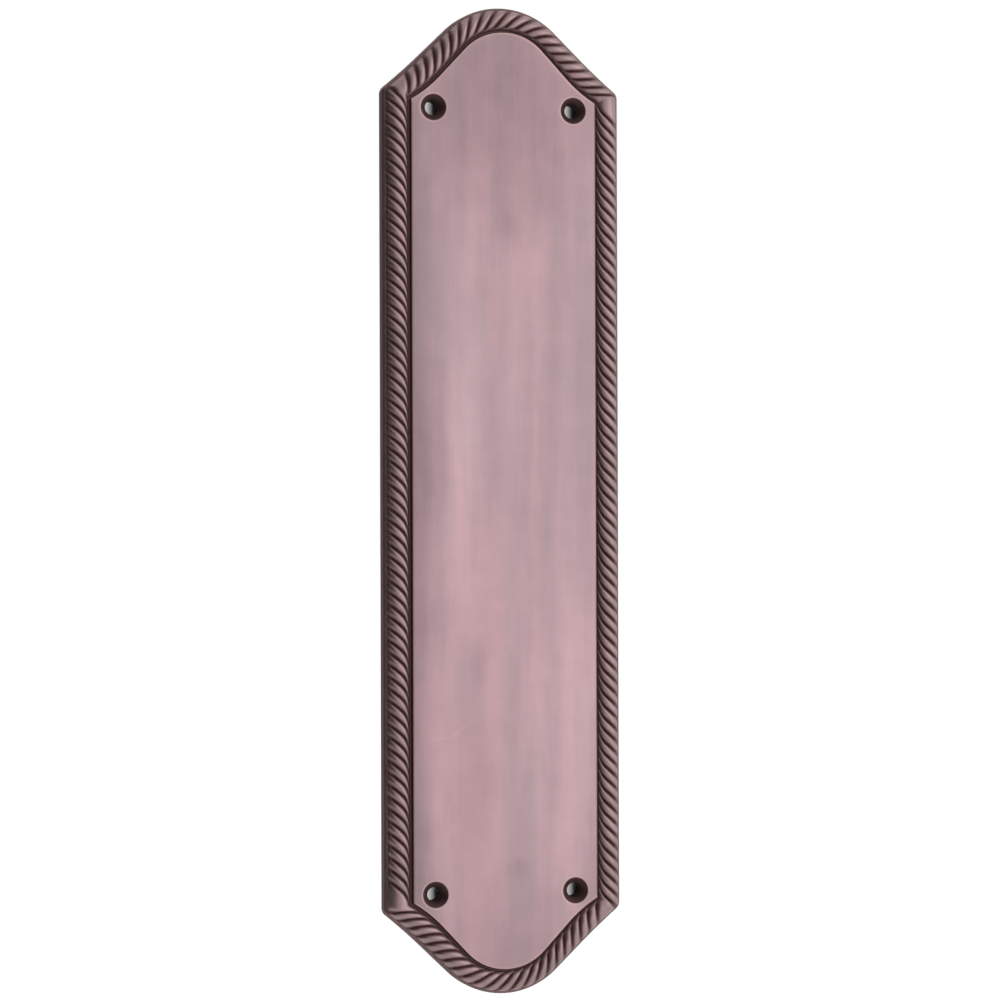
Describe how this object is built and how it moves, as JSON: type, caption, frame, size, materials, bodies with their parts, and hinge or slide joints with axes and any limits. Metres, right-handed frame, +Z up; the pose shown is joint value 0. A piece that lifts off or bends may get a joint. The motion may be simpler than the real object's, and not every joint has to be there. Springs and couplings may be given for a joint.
{
  "type": "door finger plate",
  "caption": "Cast door finger plate with a raised ogee-ended panel, a rope-moulded border, countersunk screw holes and a hollow back.",
  "frame": {"origin": "middle of the back face, on the surface of the door", "axes": "+Z up the plate's length, X across it, -Y out of the face"},
  "size_m": [0.0722, 0.0076, 0.291],
  "materials": {
    "finger_plate": "antique copper: rubbed pinkish crests over dark brown hollows"
  },
  "bodies": {
    "root": {"finger_plate": "finger_plate"}
  },
  "joints": []
}
